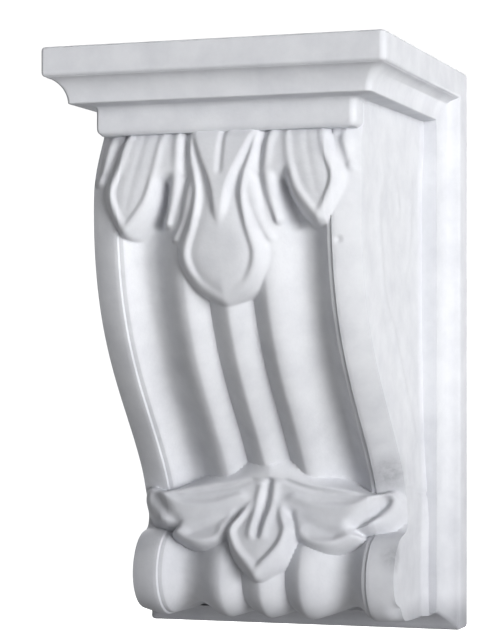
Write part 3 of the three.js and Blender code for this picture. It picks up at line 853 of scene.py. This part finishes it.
def carved_body(block, section, leaves, stone):
    """Mesh of the scrolled body with its front carved."""
    body = object_from(body_mesh(block, section, leaves))
    tree = reeded_front_tree()
    carving = body.modifiers.new("Reeded front", "NODES")
    carving.node_group = tree
    for item in tree.interface.items_tree:
        if item.in_out == "INPUT" and item.name in CorbelSection.__annotations__:
            carving[item.identifier] = getattr(section, item.name)
        elif item.in_out == "INPUT" and item.name == "Stone":
            carving[item.identifier] = stone
    mesh = evaluated_mesh(body, "corbel_stone")
    for attribute in ("across", "leaf", "push", "band", "cut", "carving"):
        mesh.attributes.remove(mesh.attributes[attribute])
    discard(body)
    return mesh


def discard(piece):
    """Removes an object that has done its work, and its mesh."""
    mesh = piece.data
    bpy.data.objects.remove(piece)
    bpy.data.meshes.remove(mesh)


def soften(corners, radius, steps=4):
    """Rounds the sharp corners of an open line."""
    line = [np.array(p, float) for p in corners]
    out = [line[0]]
    for before, corner, after in zip(line, line[1:], line[2:]):
        a, b = before - corner, after - corner
        la, lb = np.linalg.norm(a), np.linalg.norm(b)
        if np.dot(a, b) / (la * lb) < -0.9:
            out.append(corner)
            continue
        start = corner + a * min(radius / la, 0.45)
        end = corner + b * min(radius / lb, 0.45)
        for t in np.linspace(0, 1, steps + 1):
            out.append((1 - t) ** 2 * start + 2 * (1 - t) * t * corner + t ** 2 * end)
    out.append(line[-1])
    return out


def cove_line(block, root):
    """Cove past the fascia, as (distance from the outer face, inset), from a root inside the fascia."""
    fascia, drop, inset = block.fascia / MM, block.cove_drop / MM, block.cove_inset / MM
    steps = []
    for i in range(1, 13):
        angle = 0.5 * math.pi * i / 12
        steps.append((fascia + drop * (1 - math.cos(angle)), inset * math.sin(angle)))
    return [(fascia / 2, steps[0][1] + root)] + steps


def rounded_corner(x, y, sx, sy, radius):
    """Points round a corner of a ring, in the order of its turning."""
    angles = np.linspace(0, math.pi / 2, 5)
    arc = [(x - sx * radius * (1 - math.cos(a)), y - sy * radius * (1 - math.sin(a))) for a in angles]
    return arc if sx * sy > 0 else arc[::-1]


def slab_mesh(block):
    """Cove under the top slab, soffit and neck, as level rings from the top down."""
    soffit = (block.cove_inset + block.soffit_inset) / MM
    level = (block.fascia + block.cove_drop + block.soffit_fall) / MM
    foot = HEIGHT - block.neck_foot / MM
    splay = block.neck_splay / MM
    line = cove_line(block, SLAB_ROOT) + [(level, soffit), (foot, soffit), (foot + splay, soffit + splay)]
    radius = block.arris / MM
    back = -block.fascia / MM / 2
    points, rings = [], soften(line, radius)
    for drop, inset in rings:
        half, front = WIDTH / 2 - inset, DEPTH - inset
        widening = block.neck_taper * (front + back) if inset >= soffit else 0
        flat = [(-half - widening, back), (half + widening, back)]
        flat += [(x, -y) for x, y in rounded_corner(half, front, 1, 1, block.worn_corner / MM)]
        flat += [(x, -y) for x, y in rounded_corner(-half, front, -1, 1, radius)]
        points += [(x * MM, y * MM, (HEIGHT / 2 - drop) * MM) for x, y in flat]
    count = len(points) // len(rings)
    return mesh_from("slab", points, loft_faces(len(rings), count))


def plate_mesh(block):
    """Cove and face of the back plate, as upright rings from the wall forwards."""
    radius = block.arris / MM
    top = HEIGHT / 2 - block.fascia / MM / 2
    points, rings = [], soften(cove_line(block, PLATE_ROOT), radius)
    for forward, inset in rings:
        half, bottom = WIDTH / 2 - inset, HEIGHT / 2 - inset
        flat = [(half, top), (-half, top)]
        flat += [(x, -y) for x, y in rounded_corner(-half, bottom, -1, 1, radius)[::-1]]
        flat += [(x, -y) for x, y in rounded_corner(half, bottom, 1, 1, radius)[::-1]]
        points += [(x * MM, -forward * MM, z * MM) for x, z in flat]
    count = len(points) // len(rings)
    return mesh_from("plate", points, loft_faces(len(rings), count))


def fascia_mesh(block):
    """Fascia of slab and plate in one L-shaped length, with worn arrises."""
    fascia = block.fascia / MM
    outline = [(0, 0), (0, HEIGHT), (-DEPTH, HEIGHT), (-DEPTH, HEIGHT - fascia),
               (-fascia, HEIGHT - fascia), (-fascia, 0)]
    points = [(x * MM, y * MM, (z - HEIGHT / 2) * MM) for x in (-WIDTH / 2, WIDTH / 2) for y, z in outline]
    faces = [tuple(range(6)), tuple(reversed(range(6, 12)))]
    faces += [(i, 6 + i, 6 + (i + 1) % 6, (i + 1) % 6) for i in range(6)]
    mesh = mesh_from("fascia", points, faces)
    worked = bmesh.new()
    worked.from_mesh(mesh)
    bmesh.ops.recalc_face_normals(worked, faces=worked.faces)

    def at_right_front(vertex):
        return vertex.co.x > WIDTH * MM / 2 - MM and vertex.co.y < MM - DEPTH * MM

    corner = [edge for edge in worked.edges if all(at_right_front(vertex) for vertex in edge.verts)]
    bmesh.ops.bevel(worked, geom=corner, offset=block.worn_corner, segments=6, profile=0.5, affect="EDGES")
    worn = [edge for edge in worked.edges
            if min(vertex.co.y for vertex in edge.verts) < -MM and edge.calc_face_angle_signed() > WORN_ANGLE]
    bmesh.ops.bevel(worked, geom=worn, offset=block.arris, segments=3, profile=0.5, affect="EDGES")
    worked.to_mesh(mesh)
    worked.free()
    return mesh


def stone_material(stone):
    """Pale, fine-grained stone with faint clouds, dirty patches, painted shade towards the foot and a painted
    shadow along the bottom edge.
    """
    material = bpy.data.materials.new("stone")
    material.use_nodes = True
    nodes, links = material.node_tree.nodes, material.node_tree.links
    shader = nodes["Principled BSDF"]
    shader.inputs["Roughness"].default_value = stone.roughness
    shader.inputs["Specular IOR Level"].default_value = GLOSS
    place = nodes.new("ShaderNodeTexCoord")

    def noise(scale, detail, rough):
        """Noise in the block of stone."""
        node = nodes.new("ShaderNodeTexNoise")
        node.inputs["Scale"].default_value = scale
        node.inputs["Detail"].default_value = detail
        node.inputs["Roughness"].default_value = rough
        links.new(place.outputs["Object"], node.inputs["Vector"])
        return node.outputs[0]

    def stain_and_painted_shade(clean, share, tint):
        """A colour with a share of a darker tint mixed in, for real stains and for painted shade and shadow.
        """
        node = nodes.new("ShaderNodeMix")
        node.data_type = "RGBA"
        node.blend_type = "MULTIPLY"
        node.inputs[MIX_SECOND].default_value = tint
        links.new(share, node.inputs[0])
        links.new(clean, node.inputs[MIX_FIRST])
        return node.outputs[MIX_RESULT]

    def fading(value, start, end):
        """Soft rise from 0 to 1 between two lengths in millimetres."""
        node = nodes.new("ShaderNodeMapRange")
        node.interpolation_type = "SMOOTHSTEP"
        node.inputs["From Min"].default_value = start * MM
        node.inputs["From Max"].default_value = end * MM
        links.new(value, node.inputs["Value"])
        return node.outputs[0]

    clouds = nodes.new("ShaderNodeMix")
    clouds.data_type = "RGBA"
    clouds.inputs[MIX_FIRST].default_value = stone.dark
    clouds.inputs[MIX_SECOND].default_value = stone.pale
    share = nodes.new("ShaderNodeMapRange")
    share.inputs["From Min"].default_value, share.inputs["From Max"].default_value = CLOUD_RANGE
    links.new(noise(*CLOUDS), share.inputs["Value"])
    links.new(share.outputs[0], clouds.inputs[0])
    face = clouds.outputs[MIX_RESULT]

    for (x, y, z), reach in STAINS:
        away = nodes.new("ShaderNodeVectorMath")
        away.operation = "DISTANCE"
        away.inputs[1].default_value = (x * MM, y * MM, (z - HEIGHT / 2) * MM)
        links.new(place.outputs["Object"], away.inputs[0])
        speckled = nodes.new("ShaderNodeMath")
        speckled.operation = "MULTIPLY"
        links.new(fading(away.outputs["Value"], reach, STAIN_CORE), speckled.inputs[0])
        links.new(noise(*SPECKLES), speckled.inputs[1])
        face = stain_and_painted_shade(face, speckled.outputs[0], stone.stain)
    parts = nodes.new("ShaderNodeSeparateXYZ")
    links.new(place.outputs["Object"], parts.inputs[0])
    # Painted shade: darker towards the foot, in place of the key light's falloff
    face = stain_and_painted_shade(face, fading(parts.outputs["Z"], *FOOT_PAINTED_SHADE), stone.foot)
    # Painted shadow along the bottom edge, under the roll
    face = stain_and_painted_shade(face, fading(parts.outputs["Z"], *EDGE_PAINTED_SHADOW), stone.edge)
    links.new(face, shader.inputs["Base Color"])

    grain = nodes.new("ShaderNodeBump")
    grain.inputs["Strength"].default_value = GRAIN_STRENGTH
    grain.inputs["Distance"].default_value = stone.grain
    links.new(noise(*GRAIN), grain.inputs["Height"])
    links.new(grain.outputs[0], shader.inputs["Normal"])
    return material


class CORBEL_OT_make_corbel(bpy.types.Operator):
    """Carve the corbel from one block of stone"""

    bl_idname = "corbel.make_corbel"
    bl_label = "Make corbel"

    def execute(self, context):
        scene = context.scene
        block = scene.corbel_block
        stone = stone_material(scene.corbel_stone)
        body = carved_body(block, scene.corbel_section, scene.corbel_leaves, stone)
        piece = object_from(body)
        others = [object_from(make(block)) for make in (fascia_mesh, slab_mesh, plate_mesh)]
        for other in others:
            other.data.materials.append(stone)
            join = piece.modifiers.new("Join", "BOOLEAN")
            join.operation = "UNION"
            join.solver = "MANIFOLD"
            join.object = other
        joined = evaluated_mesh(piece, "corbel_joined")
        joined.shade_smooth()
        joined.set_sharp_from_angle(angle=CRISP_ANGLE)
        piece.data = joined
        weigh = piece.modifiers.new("Weighted normals", "WEIGHTED_NORMAL")
        weigh.keep_sharp = True
        piece.data = evaluated_mesh(piece, "corbel")
        piece.name = "corbel_stone"
        for other in others:
            discard(other)
        for spare in (body, joined):
            bpy.data.meshes.remove(spare)
        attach(piece, "root")
        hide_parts("corbel")
        return {"FINISHED"}


def make_backdrop(stage):
    """Floor that bends up into a plain backdrop."""
    floor = -stage.floor_drop
    line = [(BACKDROP_FRONT, floor)]
    for angle in np.radians(np.linspace(0, 90, 13)):
        line.append((
            BACKDROP_BEND + BEND_RADIUS * math.sin(angle), floor + BEND_RADIUS * (1 - math.cos(angle))))
    line.append((BACKDROP_BEND + BEND_RADIUS, BACKDROP_TOP))
    points = [(x, y, z) for y, z in line for x in (-BACKDROP_HALF_WIDTH, BACKDROP_HALF_WIDTH)]
    faces = [(2 * i, 2 * i + 1, 2 * i + 3, 2 * i + 2) for i in range(len(line) - 1)]
    backdrop = object_from(mesh_from("backdrop", points, faces))
    backdrop.data.shade_smooth()
    paper = bpy.data.materials.new("backdrop_paper")
    paper.use_nodes = True
    shader = paper.node_tree.nodes["Principled BSDF"]
    shader.inputs["Base Color"].default_value = stage.paper
    shader.inputs["Roughness"].default_value = PAPER_ROUGHNESS
    shader.inputs["Emission Color"].default_value = (1, 1, 1, 1)
    shader.inputs["Emission Strength"].default_value = PAPER_GLOW
    backdrop.data.materials.append(paper)
    backdrop.visible_diffuse = False


def studio_world(stage):
    """Even light all round, stronger from above than from below."""
    world = bpy.data.worlds.new("studio")
    world.use_nodes = True
    nodes, links = world.node_tree.nodes, world.node_tree.links
    nodes["Background"].inputs["Color"].default_value = (1, 1, 1, 1)
    direction = nodes.new("ShaderNodeTexCoord")
    parts = nodes.new("ShaderNodeSeparateXYZ")
    strength = nodes.new("ShaderNodeMapRange")
    strength.inputs["From Min"].default_value = -1
    strength.inputs["To Min"].default_value = stage.ground
    strength.inputs["To Max"].default_value = stage.sky
    links.new(direction.outputs["Generated"], parts.inputs[0])
    links.new(parts.outputs["Z"], strength.inputs["Value"])
    links.new(strength.outputs[0], nodes["Background"].inputs["Strength"])
    return world


def add_lamp(name, power, size, beam, place, target):
    """Square lamp that looks at a target."""
    light = bpy.data.lights.new(name, "AREA")
    light.energy = power
    light.size = size
    light.spread = beam
    lamp = bpy.data.objects.new(name, light)
    lamp.location = place
    aim = np.array(target) - np.array(place)
    lamp.rotation_euler = (
        math.atan2(math.hypot(aim[0], aim[1]), -aim[2]), 0, math.atan2(-aim[0], aim[1]))
    bpy.context.scene.collection.objects.link(lamp)


def add_camera(stage):
    """Level camera to the right of the corbel."""
    camera = bpy.data.cameras.new("camera")
    camera.sensor_width = 36
    camera.lens = stage.lens
    camera.shift_x, camera.shift_y = CAMERA_SHIFT
    camera.clip_end = 50
    view = bpy.data.objects.new("camera", camera)
    view.location = CAMERA_PLACE
    view.rotation_euler = (math.radians(90), 0, stage.turn)
    bpy.context.scene.collection.objects.link(view)
    return view


class CORBEL_OT_make_stage(bpy.types.Operator):
    """Set the floor, the light and the camera"""

    bl_idname = "corbel.make_stage"
    bl_label = "Make stage"

    def execute(self, context):
        scene = context.scene
        stage = scene.corbel_stage
        make_backdrop(stage)
        scene.world = studio_world(stage)
        add_lamp("fill", stage.fill, FILL_SIZE, math.pi, FILL_PLACE, FILL_TARGET)
        add_lamp("key", stage.key, KEY_SIZE, stage.key_spread, KEY_PLACE, KEY_TARGET)
        scene.camera = add_camera(stage)
        scene.view_settings.view_transform = "Standard"
        return {"FINISHED"}


class CORBEL_PT_sidebar(bpy.types.Panel):
    """Sizes and steps of the corbel"""

    bl_label = "Stone corbel"
    bl_space_type = "VIEW_3D"
    bl_region_type = "UI"
    bl_category = "Corbel"

    def draw(self, context):
        for name in GROUPS:
            group = getattr(context.scene, name)
            column = self.layout.column(align=True)
            for setting in group.__annotations__:
                column.prop(group, setting)
        self.layout.operator(CORBEL_OT_make_corbel.bl_idname)
        self.layout.operator(CORBEL_OT_make_stage.bl_idname)


GROUPS = {
    "corbel_block": CorbelBlock,
    "corbel_section": CorbelSection,
    "corbel_leaves": CorbelLeaves,
    "corbel_stone": CorbelStone,
    "corbel_stage": CorbelStage,
}
CLASSES = (*GROUPS.values(), CORBEL_OT_make_corbel, CORBEL_OT_make_stage, CORBEL_PT_sidebar)


def register():
    for item in CLASSES:
        bpy.utils.register_class(item)
    for name, group in GROUPS.items():
        setattr(bpy.types.Scene, name, PointerProperty(type=group))


def unregister():
    for name in GROUPS:
        delattr(bpy.types.Scene, name)
    for item in reversed(CLASSES):
        bpy.utils.unregister_class(item)


def main():
    register()
    bpy.ops.corbel.make_corbel()
    bpy.ops.corbel.make_stage()


if __name__ == "__main__":
    main()
